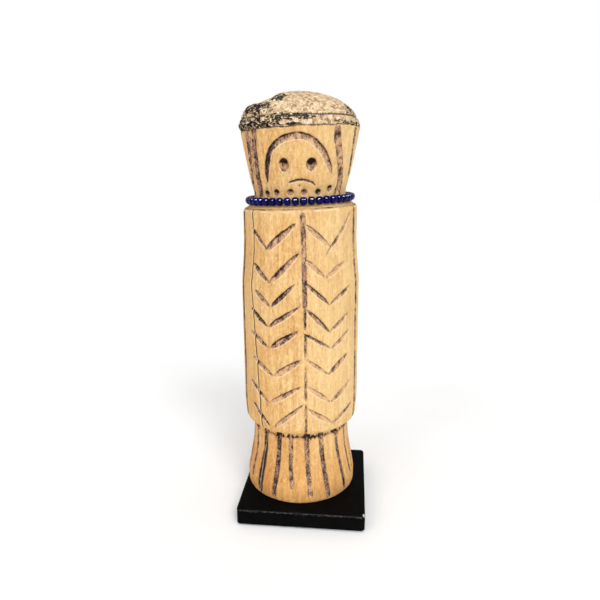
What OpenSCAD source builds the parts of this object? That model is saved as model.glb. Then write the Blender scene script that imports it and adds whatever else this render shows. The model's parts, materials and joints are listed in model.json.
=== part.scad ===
// Carved fertility doll on a lacquered display base, with a string of glass beads round its neck.
// The figure is one billet of wood. It stands on two steel pins and lifts off them.
// Origin: centre of the felt's underside. +Z is up and the doll faces -Y.

/* [Display base] */
// Side of the square base
base_w = 76; // [72:1:110]
// Thickness of the base
base_h = 9.5; // [8:0.5:20]
// Radius of the base's upright corners
base_corner_r = 2.5; // [0.5:0.5:8]
// Thickness of the felt under the base
felt_h = 1; // [0.5:0.25:3]
// How far the felt stays back from the base's edge
felt_inset = 2; // [1:0.5:6]

/* [Mounting pins] */
// Diameter of each steel pin
pin_d = 4; // [3:0.5:6]
// Distance between the two pins
pin_spacing = 28; // [20:1:40]
// Height of the pins above the base
pin_proud = 12; // [6:1:20]
// Depth of the pins in the base
pin_seat = 7; // [4:0.5:7.5]
// Gap all round a pin in the figure's socket
pin_gap = 0.06; // [0.02:0.01:0.1]

/* [Figure] */
// Figure's axis, sideways from the middle of the base
figure_x = -3.4; // [-4:0.1:4]
// Figure's axis, back from the middle of the base
figure_y = 4.6; // [-4.6:0.1:4.6]
// Turn of the figure on its base, in degrees
figure_turn = 5; // [-30:1:30]
// Radius of the skirt at its hem
hem_r = 34.1; // [33:0.1:34.1]
// Radius of the skirt under the torso
skirt_top_r = 29.5; // [27:0.5:31]
// Height of the torso's lower rim
torso_z = 43.5; // [38:0.5:46]
// Rounding of the torso's lower rim
torso_round = 5; // [1:0.5:5]
// Radius of the torso
torso_r = 35.2; // [34:0.1:37]
// Radius of the torso below the shoulders
chest_r = 33.3; // [32.5:0.1:34]
// Height of the cap's lower edge
cap_z = 216; // [212:0.5:217]
// Radius of the cap's rim
cap_r = 34.1; // [33.5:0.1:36]
// Total height of the figure
figure_h = 237.9; // [230:0.1:250]

/* [Neck and necklace] */
// Height of the string of beads on the figure
necklace_z = 179.1; // [178:0.1:181]
// Tilt of the neck, low on the doll's right-hand side, in degrees
neck_tilt = 2; // [0:0.5:3]
// Radius of the neck
neck_r = 26.5; // [24:0.1:26.6]
// Radius of the string of beads, to the middle of the beads
string_r = 29.6; // [29.5:0.1:30]
// Diameter of a bead
bead_d = 4.5; // [3.6:0.1:4.5]
// Length of a bead along the thread
bead_l = 4.1; // [3.4:0.1:4.2]
// Diameter of the hole through a bead
bead_hole_d = 1; // [0.9:0.05:1.3]
// Number of beads on the thread
bead_count = 42; // [38:1:42]
// Diameter of the thread
thread_d = 0.7; // [0.4:0.05:0.75]
// Diameter of the knot
knot_d = 1.9; // [1.4:0.1:2.2]

/* [Carving] */
// Depth of the engraved hairline and mouth
engraved = 0.9; // [0.5:0.1:1.5]
// Depth of a chevron's stroke at its ends; the round surface makes it deeper in the middle
stroke_d = 0.5; // [0.2:0.1:1]
// Width of a carved groove for each millimetre of its depth
spread = 2.2; // [1.5:0.1:3]
// Number of flutes round the skirt
flute_count = 18; // [12:1:24]
// Depth of the long grooves of the head, the torso and the skirt
groove_d = 1.1; // [0.6:0.1:1.6]

/* [Hidden] */
$fn = 64;
cut = 1;                              // how far a cutting shape runs past what it cuts
base_top = felt_h + base_h;
bead_pitch = 360 / (bead_count + 1);  // one place on the string is the knot's
back = 180;                           // angles go round from the doll's front, towards +X
dome_z = cap_z + 1.6;
rib_angles = [-70, 4.5, 66, 112, 184.5, 248];  // upright grooves on the torso

// Carved rows, from the shoulders down. Heights on the figure: the outer end and the valley on the
// doll's right, the two inner ends beside the middle groove, then the valley and the outer end.
chevrons = [
    [165, 153, 168, 167, 154, 171],
    [145, 135, 151, 148, 138, 146],
    [130, 122, 135, 135, 123, 132],
    [119, 110, 123, 121, 107, 116],
    [105, 98, 109, 107, 97, 106],
    [90, 81, 92, 92, 82, 92],
    [75, 64, 76, 76, 65, 74],
    [61, 49, 64, 62, 51, 59]
];
chevron_angles = [-53, -30, -1, 7, 28, 53];

bead_names = [for (i = [1:bead_count]) str("bead_", i < 10 ? "0" : "", i)];

// ---- helpers ----

function unit(v) = v / norm(v);
function arc(x, z, r, from, to, steps) =
    [for (i = [0:steps]) let (a = from + (to - from) * i / steps) [x + r * cos(a), z + r * sin(a)]];

// A point on a round surface: angle from the front, height, radius.
function spot(a, z, r) = [r * sin(a), -r * cos(a), z];

// The torso's radius at a height.
function torso_at(z) = z < 132 ? torso_r : torso_r + (chest_r - torso_r) * min(1, (z - 132) / 25);

// Puts children at a point, local Z along a direction and local Y facing outwards.
module placed(at, along, outward) {
    t = unit(along);
    s = unit(cross(outward, t));
    n = cross(t, s);
    multmatrix([[s.x, n.x, t.x, at.x], [s.y, n.y, t.y, at.y], [s.z, n.z, t.z, at.z]]) children();
}

// A straight V groove between two points of a surface, as a knife or a gouge leaves it.
module v_groove(a, z, r, to_a, to_z, to_r, depth) {
    p = spot(a, z, r);
    q = spot(to_a, to_z, to_r);
    lift = 3;
    side = spread / 2 * (depth + lift);
    placed(p, q - p, spot((a + to_a) / 2, 0, 1))
        linear_extrude(norm(q - p)) polygon([[0, -depth], [side, lift], [-side, lift]]);
}

// Everything that stands in the figure's own place on the base.
module on_base() {
    translate([figure_x, figure_y, base_top]) rotate([0, 0, figure_turn]) children();
}

// ---- carved figure ----

// The billet as turned and shaped, before any carving. The skirt, the torso and the head are one piece.
module billet() {
    hem_round = 1.2;
    cap_round = 0.6;
    rotate_extrude($fn = 128) polygon(concat(
        [[0, 0]],
        arc(hem_r - hem_round, hem_round, hem_round, -90, 0, 4),
        [[hem_r, 8.5], [30.4, 29], [skirt_top_r, torso_z + 1]],
        arc(torso_r - 0.6 - torso_round, torso_z + torso_round, torso_round, -90, 0, 6),
        [[torso_r, torso_z + 14], [torso_r, 132], [(torso_r + 2 * chest_r) / 3, 146], [chest_r, 157],
         [chest_r, necklace_z], [neck_r, necklace_z + 3],
         [28.9, 192], [31.1, 202.5], [cap_r - 0.6, cap_z - cap_round], [cap_r, cap_z + cap_round]],
        [for (i = [0:12]) let (a = 90 * i / 12) [cap_r * cos(a), dome_z + (figure_h - dome_z) * sin(a)]]
    ));
}

// The neck and the sloping shoulder, cut square to the tilted string of beads.
module neck_cut() {
    edge_round = 2.4;
    far = 40;
    translate([0, 0, necklace_z]) rotate([0, -neck_tilt, 0]) rotate_extrude($fn = 128) polygon(concat(
        [[far, -7], [chest_r + 0.6, -7]],
        arc(chest_r - edge_round, -6.45, edge_round, 0, 62, 4),
        [[27.6, -1.65], [26.8, -0.75], [neck_r, 0.6], [neck_r, 4.4], [far, 4.4]]
    ));
}

// Engraved lines of the face: what a flat pattern leaves on the head, one cut deep.
module engraving() {
    difference() {
        rotate([90, 0, 0]) linear_extrude(cap_r + cut) face_pattern();
        rotate_extrude($fn = 128) polygon([[0, 170], [neck_r + 0.2 - engraved, 180],
            [28.9 - engraved, 192], [31.1 - engraved, 202.5], [cap_r - 0.6 - engraved, cap_z], [0, cap_z]]);
    }
}

// Arched hairline and down-turned mouth, seen from the front.
module face_pattern() {
    difference() {
        translate([0, 194.8]) circle(19.2);
        translate([0, 193.9]) circle(16.4);
        translate([-30, 170]) square([30, 20]);
        translate([0, 170]) square([30, 26]);
    }
    translate([1.6, 177.4]) difference() {
        circle(13.4);
        translate([0, -0.7]) circle(13);
        translate([-20, -20]) square([40, 31]);
    }
}

module eyes() {
    for (eye = [[-15.4, 2.7], [12.7, 2.9]])
        placed(spot(eye[0], 197.8, 31.6), -spot(eye[0], 0, 1), [0, 0, 1])
            cylinder(h = 5.2, r1 = eye[1] + 0.6, r2 = 0.8);
}

// Row of six drilled dots under the mouth.
module chin_dots() {
    for (dot = [[-40.5, 183.4], [-26.5, 183.8], [-10, 183.7], [5.5, 183.5], [22, 183.5], [36.5, 185.2]])
        translate(spot(dot[0], dot[1], 27.9)) sphere(r = 1.7, $fn = 32);
}

// Grooves down the sides of the head, from the cap to the neck.
module head_grooves() {
    bottom = 180;
    for (line = [[-55, -70], [-43, -52], [36, 50], [66, 74], [125, 128], [180, 180], [235, 232]])
        v_groove(line[0], cap_z - 0.4, cap_r - 0.6, line[1], bottom, neck_r, groove_d);
    v_groove(50, 188, 28, 46, 181.5, neck_r + 0.3, stroke_d);
}

module torso_grooves() {
    for (a = rib_angles)
        v_groove(a, torso_z - cut, torso_r, a, necklace_z, chest_r, groove_d);
}

// The same rows of chevrons on the front and on the back.
module chevron_rows() {
    for (side = [0, back], row = chevrons, part = [[0, 1], [2, 1], [3, 4], [5, 4]]) {
        from = part[0];
        to = part[1];
        v_groove(side + chevron_angles[from], row[from], torso_at(row[from]),
                 side + chevron_angles[to], row[to], torso_at(row[to]), stroke_d);
    }
}

module flutes() {
    for (i = [1:flute_count]) {
        a = -8 + 360 / flute_count * i;
        v_groove(a, 3, hem_r + 0.3, a, torso_z, skirt_top_r + 0.1, groove_d);
    }
}

module pin_sockets() {
    for (side = [-1, 1]) translate([side * pin_spacing / 2, 0, -cut])
        cylinder(h = pin_proud + 1 + cut, d = pin_d + 2 * pin_gap);
}

module carved_figure() {
    color("burlywood") on_base() difference() {
        billet();
        neck_cut();
        engraving();
        eyes();
        chin_dots();
        head_grooves();
        torso_grooves();
        chevron_rows();
        flutes();
        pin_sockets();
    }
}

// ---- base ----

module rounded_square(side, r) {
    inner = side - 2 * r;
    square([side, inner], center = true);
    square([inner, side], center = true);
    for (x = [-1, 1], y = [-1, 1]) translate([x, y] * inner / 2) circle(r);
}

module felt_underlay() {
    color("darkgreen") linear_extrude(felt_h) rounded_square(base_w - 2 * felt_inset, base_corner_r);
}

module display_base() {
    color("#151515") difference() {
        translate([0, 0, felt_h]) linear_extrude(base_h) rounded_square(base_w, base_corner_r);
        on_base() for (side = [-1, 1]) translate([side * pin_spacing / 2, 0, -pin_seat])
            cylinder(h = pin_seat + cut, d = pin_d);
    }
}

module mounting_pins() {
    tip = 0.6;
    color("silver") on_base() for (side = [-1, 1]) translate([side * pin_spacing / 2, 0, -pin_seat]) {
        cylinder(h = pin_seat + pin_proud - tip, d = pin_d);
        translate([0, 0, pin_seat + pin_proud - tip]) cylinder(h = tip, d1 = pin_d, d2 = pin_d - 2 * tip);
    }
}

// ---- necklace ----

module on_neck() {
    on_base() translate([0, 0, necklace_z]) rotate([0, -neck_tilt, 0]) children();
}

// A place on the string, with local Z along the thread.
module on_string(a) {
    rotate([0, 0, a - 90]) translate([string_r, 0, 0]) rotate([90, 0, 0]) children();
}

module necklace_thread() {
    color("ivory") on_neck() difference() {
        rotate_extrude($fn = 128) translate([string_r, 0]) circle(d = thread_d, $fn = 24);
        on_string(back) knot_body();
    }
}

module knot_body() {
    rotate_extrude($fn = 48) polygon(arc(0, 0, knot_d / 2, -90, 90, 10));
}

// The knot and its two cut ends, at the back of the neck.
module necklace_knot() {
    tail = 3;
    color("ivory") on_neck() on_string(back) {
        knot_body();
        for (lean = [-1, 1]) rotate([0, 90, 0]) rotate([20 * lean, 22, 0])
            cylinder(h = tail, d = thread_d, $fn = 8);
    }
}

// Pressed glass bead: a ring of round section with a short straight wall.
module bead(i) {
    r = bead_d / 2;
    edge = r - bead_hole_d / 2 - 0.1;
    wall = bead_l / 2 - edge;
    color("mediumblue") on_neck() on_string(back + i * bead_pitch) rotate_extrude($fn = 48)
        difference() {
            union() {
                for (z = [-wall, wall]) translate([r - edge, z]) circle(edge);
                translate([0, -wall]) square([r, 2 * wall]);
                translate([0, -bead_l / 2]) square([r - edge, bead_l]);
            }
            translate([-r - cut, -bead_l]) square([r + cut + bead_hole_d / 2, 2 * bead_l]);
        }
}

felt_underlay();
display_base();
mounting_pins();
carved_figure();
necklace_thread();
necklace_knot();
for (i = [1:bead_count]) bead(i);
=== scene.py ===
"""A carved fertility doll on a black lacquered base, with a string of blue glass beads.

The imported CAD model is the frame. The figure, the base, the felt, the beads and the thread are
modelled here around it, in metres; the figure's own shape is worked out in millimetres.
"""
import json
import math

import bmesh
import bpy
import numpy as np
from mathutils import Matrix, Vector
from mathutils.geometry import delaunay_2d_cdt


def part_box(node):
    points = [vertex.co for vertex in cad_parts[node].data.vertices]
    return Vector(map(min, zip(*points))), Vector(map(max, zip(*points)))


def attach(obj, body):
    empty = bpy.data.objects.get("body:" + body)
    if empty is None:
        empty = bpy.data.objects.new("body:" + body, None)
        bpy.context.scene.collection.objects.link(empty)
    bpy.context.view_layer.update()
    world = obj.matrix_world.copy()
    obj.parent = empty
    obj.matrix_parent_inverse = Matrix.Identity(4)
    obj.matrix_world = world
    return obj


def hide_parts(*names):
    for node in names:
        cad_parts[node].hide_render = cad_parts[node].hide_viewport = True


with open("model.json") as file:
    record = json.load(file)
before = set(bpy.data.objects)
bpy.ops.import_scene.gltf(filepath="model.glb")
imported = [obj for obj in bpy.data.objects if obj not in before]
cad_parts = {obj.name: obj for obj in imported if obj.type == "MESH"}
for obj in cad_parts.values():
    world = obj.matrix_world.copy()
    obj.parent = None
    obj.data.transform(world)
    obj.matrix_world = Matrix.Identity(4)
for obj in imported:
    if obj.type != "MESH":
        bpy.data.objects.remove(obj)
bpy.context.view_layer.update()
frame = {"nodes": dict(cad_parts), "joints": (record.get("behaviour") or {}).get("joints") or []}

MM = 0.001
SCENE = bpy.context.scene
SQUARE = ((1, 1), (-1, 1), (-1, -1), (1, -1))

# -------- places, from the frame

TURN_JOINT = next(j for j in frame["joints"] if j["name"] == "necklace_turn")
STRING_CENTRE = Vector(TURN_JOINT["pos_m"])
STRING_AXIS = Vector(TURN_JOINT["axis"]).normalized()
TILT = math.asin(math.hypot(STRING_AXIS.x, STRING_AXIS.y))      # low on the doll's right
FIGURE_TURN = math.atan2(-STRING_AXIS.y, -STRING_AXIS.x)        # of the doll on its base
FIGURE_LOW, FIGURE_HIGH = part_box("carved_figure")
BASE_LOW, BASE_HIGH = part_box("display_base")
FELT_LOW, FELT_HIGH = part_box("felt_underlay")
FOOT = Vector((STRING_CENTRE.x, STRING_CENTRE.y, FIGURE_LOW.z))  # the figure's axis at its foot

TO_ROW = Matrix.Translation(FOOT) @ Matrix.Rotation(FIGURE_TURN, 4, "Z")
TO_STRING = (Matrix.Translation(STRING_CENTRE) @ Matrix.Rotation(FIGURE_TURN, 4, "Z")
             @ Matrix.Rotation(-TILT, 4, "Y"))

# -------- the figure's sizes, in mm

FIGURE_H = (FIGURE_HIGH.z - FIGURE_LOW.z) / MM
STRING_Z = (STRING_CENTRE.z - FIGURE_LOW.z) / MM
HEM_R, SKIRT_TOP_R = 34.1, 29.5
TORSO_Z, TORSO_R, CHEST_R, TORSO_ROUND = 43.5, 35.2, 33.3, 5.0
NECK_R = 26.5
CAP_Z, CAP_R = 216.0, 34.1
DOME_Z = CAP_Z + 1.6
STRING_R = 29.6
BEAD_D, BEAD_L, BEAD_HOLE = 4.5, 4.1, 1.0
BEAD_COUNT = sum(name.startswith("bead_") for name in frame["nodes"])
THREAD_D = 0.7
KNOT_D = 1.9
PIN_D, PIN_SPACING, PIN_SEAT, SOCKET_DEPTH, PIN_GAP = 4.0, 28.0, 7.0, 13.0, 0.06
PLATE_CORNER, BASE_EDGE, BASE_FOOT_EDGE, FELT_EDGE, FELT_FOOT_EDGE = 2.5, 0.55, 0.35, 0.15, 0.3
# How far apart the points of the figure's grid are, and when and to what its mesh is thinned.
GRID_STEP, QUICK_GRID_STEP = 0.47, 0.8
MOST_TRIANGLES, THINNED_TRIANGLES = 190000, 188000

# The camera stands this far from the figure's axis and this high above the base, in mm.
CAMERA_OUT, CAMERA_UP, CAMERA_DOWN_DEG, CAMERA_LENS = 314.0, 196.3, 14.0, 31.86
CAMERA_AZIMUTH = math.radians(5.8)
CAMERA_ROLL, CAMERA_PAN = math.radians(-0.25), math.radians(0.06)
# The white studio lights the doll at the first strength and is seen behind it at the second.
WORLD_LIGHT, WORLD_SEEN = 0.6, 1.0


# -------- noise and curves

def value_noise(points, size, seed):
    """Smooth noise from -1 to 1 at points (n, 3) in mm; size is the width of its lumps."""
    table = np.random.default_rng(seed).uniform(-1, 1, 4096)
    p = points / size
    cell = np.floor(p).astype(np.int64)
    f = p - cell
    f = f * f * (3 - 2 * f)
    total = np.zeros(len(points))
    for corner in range(8):
        step = np.array([corner & 1, corner >> 1 & 1, corner >> 2 & 1])
        c = cell + step
        index = (c[:, 0] * 73856093 ^ c[:, 1] * 19349663 ^ c[:, 2] * 83492791) & 4095
        weight = np.prod(np.where(step, f, 1 - f), axis=1)
        total += weight * table[index]
    return total


def fractal(points, size, seed, octaves=3):
    """Noise from -1 to 1, with lumps of this size and finer and finer ones."""
    shares = [0.5 ** i for i in range(octaves)]
    layers = (share * value_noise(points, size * share, seed + i) for i, share in enumerate(shares))
    return sum(layers) / sum(shares)


def ramp(low, high, x):
    """0 below low, 1 above high, smooth between."""
    t = np.clip((x - low) / (high - low), 0, 1)
    return t * t * (3 - 2 * t)


def turn(to, start):
    """Degrees from one angle to another, the short way round."""
    return (to - start + 180) % 360 - 180


def arc(r, z, radius, start, end, steps=8):
    angles = np.radians(np.linspace(start, end, steps + 1))
    return [(r + radius * math.cos(a), z + radius * math.sin(a)) for a in angles]


# -------- the figure's outline

def outline(spacing):
    """Evenly spaced (radius, height) points up the figure's side, from its hem to its crown."""
    points = arc(HEM_R - 1.2, 1.2, 1.2, -90, 0)
    points += [(HEM_R, 8.5), (30.4, 29), (SKIRT_TOP_R, TORSO_Z + 1)]
    points += arc(TORSO_R - 0.6 - TORSO_ROUND, TORSO_Z + TORSO_ROUND, TORSO_ROUND, -90, 0)
    points += [(TORSO_R, TORSO_Z + 14), (TORSO_R, 132), ((TORSO_R + 2 * CHEST_R) / 3, 146)]
    points += [(CHEST_R, 157)]
    points += arc(CHEST_R - 2.4, STRING_Z - 6.45, 2.4, 0, 62)
    points += [(27.6, STRING_Z - 1.65), (26.8, STRING_Z - 0.75), (NECK_R, STRING_Z + 0.6)]
    points += [(NECK_R, STRING_Z + 4.4), (28.9, 192), (31.1, 202.5), (CAP_R - 0.6, CAP_Z - 0.6)]
    points += [(CAP_R * math.cos(a), DOME_Z + (FIGURE_H - DOME_Z) * math.sin(a))
               for a in np.radians(np.linspace(0, 89.4, 40))]
    points = np.array(points)
    length = np.r_[0, np.cumsum(np.hypot(*np.diff(points, axis=0).T))]
    fine = np.arange(0, length[-1], 0.1)
    r, z = np.interp(fine, length, points[:, 0]), np.interp(fine, length, points[:, 1])
    kernel = np.exp(-0.5 * (np.arange(-12, 13) / 4.0) ** 2)
    kernel /= kernel.sum()
    r, z = (np.convolve(np.pad(v, 12, mode="edge"), kernel, "valid") for v in (r, z))
    rows = np.linspace(0, len(fine) - 1, int(length[-1] / spacing)).astype(int)
    return r[rows], z[rows]


# -------- carving
# Angles are in degrees round the figure from its front, towards +X; heights are in mm.

# Each row of chevrons is two Vs. Its six places are the outer end, the valley and the inner end on
# the doll's right, then the inner end, the valley and the outer end on its left, from the top down.
CHEVRON_HEIGHTS = [
    (165, 153, 168, 167, 154, 172),
    (145, 135, 152, 148, 138, 146),
    (130, 122, 135, 135.5, 123, 132),
    (119, 110, 123, 121, 107, 116),
    (105, 98, 109, 107, 97, 106),
    (90, 81, 92, 92, 82, 92),
    (75, 64, 76, 76, 65, 74),
    (61, 48, 65, 62, 50, 59),
]
CHEVRON_ANGLES = [
    (-54, -32, -3, 5, 31, 58),
    (-49, -29, -1, 5, 24, 47),
    (-46, -28, -4, 5, 28, 53),
    (-52, -31, 1, 6, 28, 51),
    (-53, -31, -1, 4, 30, 53),
    (-51, -26, 1, 6, 27, 51),
    (-56, -31, 1, 6, 30, 57),
    (-52, -31, 3, 7, 33, 60),
]
# The four strokes of a row: which places each joins, from left to right, how deep it is, where along
# it is fattest, its widths and how dark the old colour in it is at each end, from the top row down.
STROKES = [
    (0, 1, 1.1, 0.45, (2.5, 3.1, 3.3, 3.1, 3.1, 3.1, 2.8, 3.0),
     ((0.75, 0.7), (0.7, 0.75), (0.7, 1.0), (0.9, 1.0), (0.6, 0.8), (0.6, 0.7), (0.7, 0.7),
      (0.8, 1.0))),
    (1, 2, 1.3, 0.40, (4.2, 3.8, 3.0, 3.0, 4.0, 4.2, 3.3, 3.3),
     ((0.45, 0.7), (0.4, 0.7), (0.9, 0.55), (0.75, 0.55), (0.85, 0.6), (0.3, 0.65), (0.3, 0.7),
      (0.45, 0.5))),
    (3, 4, 1.0, 0.45, (3.2, 3.0, 2.6, 2.9, 2.2, 2.7, 3.2, 3.3),
     ((0.3, 0.25), (0.4, 0.25), (0.65, 0.6), (0.7, 0.6), (0.95, 0.35), (0.3, 0.25), (0.3, 0.15),
      (0.4, 0.3))),
    (4, 5, 1.0, 0.50, (2.4, 3.0, 2.9, 2.7, 2.8, 3.9, 3.5, 3.3),
     ((0.45, 0.5), (0.3, 0.4), (0.45, 0.6), (0.45, 0.6), (0.5, 0.5), (0.6, 0.5), (0.6, 0.5),
      (0.45, 0.7))),
]
# How many degrees past the valley each row's second stroke starts, and where the first row's last one
# starts.
VALLEY_GAPS = (0, 0.5, 1, 1.5, 2.8, 1.2, 1, 4.2)
LONG_STROKE = (25, 150.5)
# Flutes of the front: the angle at the top, the angle and height of the foot, width and darkness.
FLUTES = [
    (-62, -65, 6, 2.4, 0.55), (-44, -46.8, 1, 3.2, 0.7), (-24.8, -28.9, 1.5, 3.0, 0.66),
    (-11.5, -8.3, 8.8, 2.7, 0.46), (6.6, 10.4, 2.8, 2.9, 0.55), (22.6, 30, 0.8, 3.0, 0.58),
    (43.5, 53.5, 0.2, 2.4, 0.66), (63, 68, 8, 1.7, 0.5), (78, 75, 9, 1.6, 0.5),
]
BACK_FLUTES = 10
FAR = 9.0  # mm: further from a cut, a seam or a crack than its colour reaches


class Carving:
    """Collects cuts on a grid of points: how deep each point is cut and what colour sits in it."""

    def __init__(self, angle, z, radius, points):
        self.angle, self.z, self.radius = angle, z, radius
        self.depth = np.zeros_like(z)        # mm, inwards
        self.inside = np.full_like(z, -FAR)  # mm from the nearest cut's edge, positive in the cut
        self.tone = np.zeros_like(z)         # 0 clean wood, 1 darkest
        self.lip = np.full_like(z, FAR)      # mm from the nearest lower edge, which catches light
        self.wobble = 0.25 * fractal(points, 3.5, 11, 2) + 0.16 * value_noise(points, 1.2, 13)

    def across(self, middle):
        """Distance round the figure from an angle, in mm."""
        return np.radians(turn(self.angle, middle)) * self.radius

    def cut(self, depth, inside, tone):
        deeper = depth > self.depth
        self.depth = np.where(deeper, depth, self.depth)
        self.tone = np.where(inside > np.maximum(self.inside, -0.4), tone, self.tone)
        self.inside = np.maximum(self.inside, inside)

    def nearest(self, path, near):
        """For the near points: signed mm from a path, half its width there and how far along it."""
        mm_per_degree = np.radians(1) * self.radius[near]
        angle, height = self.angle[near], self.z[near]
        gap, half = np.full(near.sum(), 99.0), np.full(near.sum(), 0.1)
        sign, along = np.ones(near.sum()), np.zeros(near.sum())
        for i, ((a, z, w), (b, y, v)) in enumerate(zip(path, path[1:])):
            ax, bx = turn(a, angle) * mm_per_degree, turn(b, angle) * mm_per_degree
            dx, dz = bx - ax, y - z
            t = np.clip(-(ax * dx + (z - height) * dz) / (dx * dx + dz * dz), 0, 1)
            px, pz = ax + t * dx, z - height + t * dz
            here = np.hypot(px, pz)
            closer = here < gap
            gap = np.where(closer, here, gap)
            half = np.where(closer, (w + (v - w) * t) / 2, half)
            sign = np.where(closer, np.sign(px * dz - pz * dx), sign)
            along = np.where(closer, (i + t) / (len(path) - 1), along)
        return sign * gap, half, along

    def groove(self, path, depth, tones, painted_upper_shade=0.35):
        """A gouged path through (angle, height, width) points, from left to right.

        Its upper wall is the steep one, with painted shade towards it. tones are the darkness at the
        path's two ends.
        """
        angles, heights, widths = zip(*path)
        near = abs(self.across((min(angles) + max(angles)) / 2)) < 32
        near &= (self.z > min(heights) - 5) & (self.z < max(heights) + 5)
        s, half, along = self.nearest(path, near)
        s += self.wobble[near]
        u = s / half
        profile = np.clip(np.where(u > 0.45, (1 - u) / 0.55, (1 + u) / 1.45), 0, 1)
        fat = np.clip(half / max(widths) * 2, 0, 1)
        # Painted shade: the cut is darker towards its upper wall, most of all just under its edge.
        shade = tones[0] + (tones[1] - tones[0]) * along - 0.22 + 0.2 * u + painted_upper_shade * ramp(0.3, 0.8, u)
        shade += 0.25 * (min(tones) - 0.6) * ramp(0.0, 0.6, u)
        d, i, k = np.zeros_like(self.z), np.full_like(self.z, -FAR), np.zeros_like(self.z)
        d[near], i[near] = profile ** 0.8 * fat ** 0.6 * depth, half * (1 - abs(u))
        k[near] = np.clip(shade, 0.04, 1.1)
        self.cut(d, i, k)
        self.catch_light(near, np.where(fat > 0.45, abs(s + half), FAR))

    def catch_light(self, where, gap):
        self.lip[where] = np.minimum(self.lip[where], gap)

    def leaf(self, a, z, to_a, to_z, width, belly, depth, tones):
        """One push of the gouge: a straight leaf, fattest at belly along it."""
        path = []
        for t in (0, 0.08, 0.2, 0.35, 0.5, 0.65, 0.8, 0.92, 1):
            warped = t ** (math.log(0.5) / math.log(belly))
            fat = (4 * warped * (1 - warped)) ** 0.6
            path.append((a + (to_a - a) * t, z + (to_z - z) * t, max(width * fat, 0.25)))
        self.groove(path, depth, tones)

    def ring(self, height, width, tone, keep):
        """A dark line round the figure, where keep is above 0."""
        inside = np.where(keep > 0, width / 2 * keep - abs(self.z - height + 0.6 * self.wobble), -FAR)
        self.cut(np.zeros_like(inside), inside, tone)

    def line(self, heights, angles, width, depth, tone, fade=1.0):
        """A groove that runs up the figure through the given angles at the given heights."""
        middle = np.interp(self.z, heights, angles)
        s = self.across(middle) + 0.8 * self.wobble
        run = np.minimum(self.z - heights[0], heights[-1] - self.z)
        ends = ramp(0, 2.5, run) * fade
        half = width / 2 * (0.35 + 0.65 * ends)
        u = abs(s) / half
        inside = np.where((run > 0) & (ends > 0.08), half * (1 - u), -FAR)
        self.cut(np.clip(1 - u ** 1.6, 0, 1) * depth * ends, inside, tone * (0.75 + 0.25 * ends))

    def pit(self, a, z, wide, high, depth, tone):
        """A drilled hole, hollowed upwards, with painted shade under its roof and a painted highlight on
        its lower rim.
        """
        hang = 0.35
        x, y = self.across(a) / (wide / 2), (self.z - z) / (high / 2)
        rim = np.hypot(x, y)
        roof = y - hang * np.clip(1 - rim, 0, 1)
        u = np.where(rim < 1, np.hypot(x, roof) / (1 + hang * 0.4), rim)
        inside = (1 - rim) * min(wide, high) / 2
        # Painted shade: darker towards the roof.
        shade = tone * (0.24 + 0.9 * ramp(-0.45, 0.5, y - 0.4 * abs(x)))
        self.cut(np.where(rim < 1, depth * np.clip(1 - u ** 1.8, 0, 1), 0), inside, shade)
        self.catch_light(slice(None), np.where((rim < 1.4) & (y < -0.3), abs(inside + 0.1), FAR))


def carve_face(c):
    hairline = [(-38, 189.3, 0.6), (-36.6, 193, 2.8), (-35, 197, 3.3), (-32.2, 201.7, 3.2),
                (-28, 205.6, 3.1), (-21.5, 208.6, 3.4), (-13.8, 210.8, 3.7), (-5.8, 211.8, 3.9),
                (1.5, 212.1, 3.8), (8.5, 211.1, 3.6), (15.5, 208.6, 3.9), (22, 205, 4.1),
                (27.8, 200.9, 3.9), (32, 197.2, 3.4), (35.3, 193.7, 1.6), (36.5, 192.2, 0.5)]
    c.groove(hairline[:6], 1.15, (1.2, 0.8), 0.2)
    c.groove(hairline[5:12], 1.1, (0.66, 0.48), 0.32)
    c.groove(hairline[11:], 1.0, (0.5, 0.42), 0.2)
    mouth = [(-11.5, 188.9, 0.5), (-8.5, 189.3, 1.3), (-3, 189.8, 1.4), (2.5, 189.9, 1.35),
             (8, 189.5, 1.4), (13.5, 188.4, 1.3), (18, 186.9, 0.5)]
    c.groove(mouth, 0.9, (1.05, 0.85), 0.7)
    c.pit(-15.8, 197.5, 5.5, 7.2, 3.4, 1.15)
    c.pit(12.6, 197.7, 6.1, 6.9, 3.6, 1.2)
    c.pit(0.3, 186.8, 1.3, 0.9, 0.6, 0.8)
    for a, z, tone in ((-42, 183.0, 1.1), (-27.8, 183.5, 1.0), (-10.6, 183.5, 1.05),
                       (5.5, 183.2, 0.55), (22.3, 183.0, 0.9), (37.2, 184.6, 1.0)):
        c.pit(a, z, 3.7, 3.7, 1.5, tone)


def carve_head(c):
    top = CAP_Z + 2
    c.line((180, 193, 207, top), (-78, -66, -60, -58), 4.2, 1.0, 0.55)
    c.line((180, 193, 207, top), (-55, -51.5, -49, -45), 4.3, 1.0, 0.55)
    c.line((190, 207, top), (-59, -55, -52.5), 1.6, 0.5, 0.3)
    c.line((182, 188, 198, 205, 211, top), (55.5, 53, 46.5, 42, 38, 36.5), 4.9, 1.1, 0.44)
    c.line((180, 191), (45, 53.5), 1.8, 0.8, 0.7)
    c.line((180, 188), (57.5, 54), 1.8, 0.8, 0.75)
    c.line((190, 203, top), (73, 68, 64), 3.0, 0.9, 0.55)
    for a in (105, 140, 180, 222, 258):
        c.line((181, 199, top), (a + 3, a, a - 2), 2.9, 0.9, 0.6)


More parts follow.
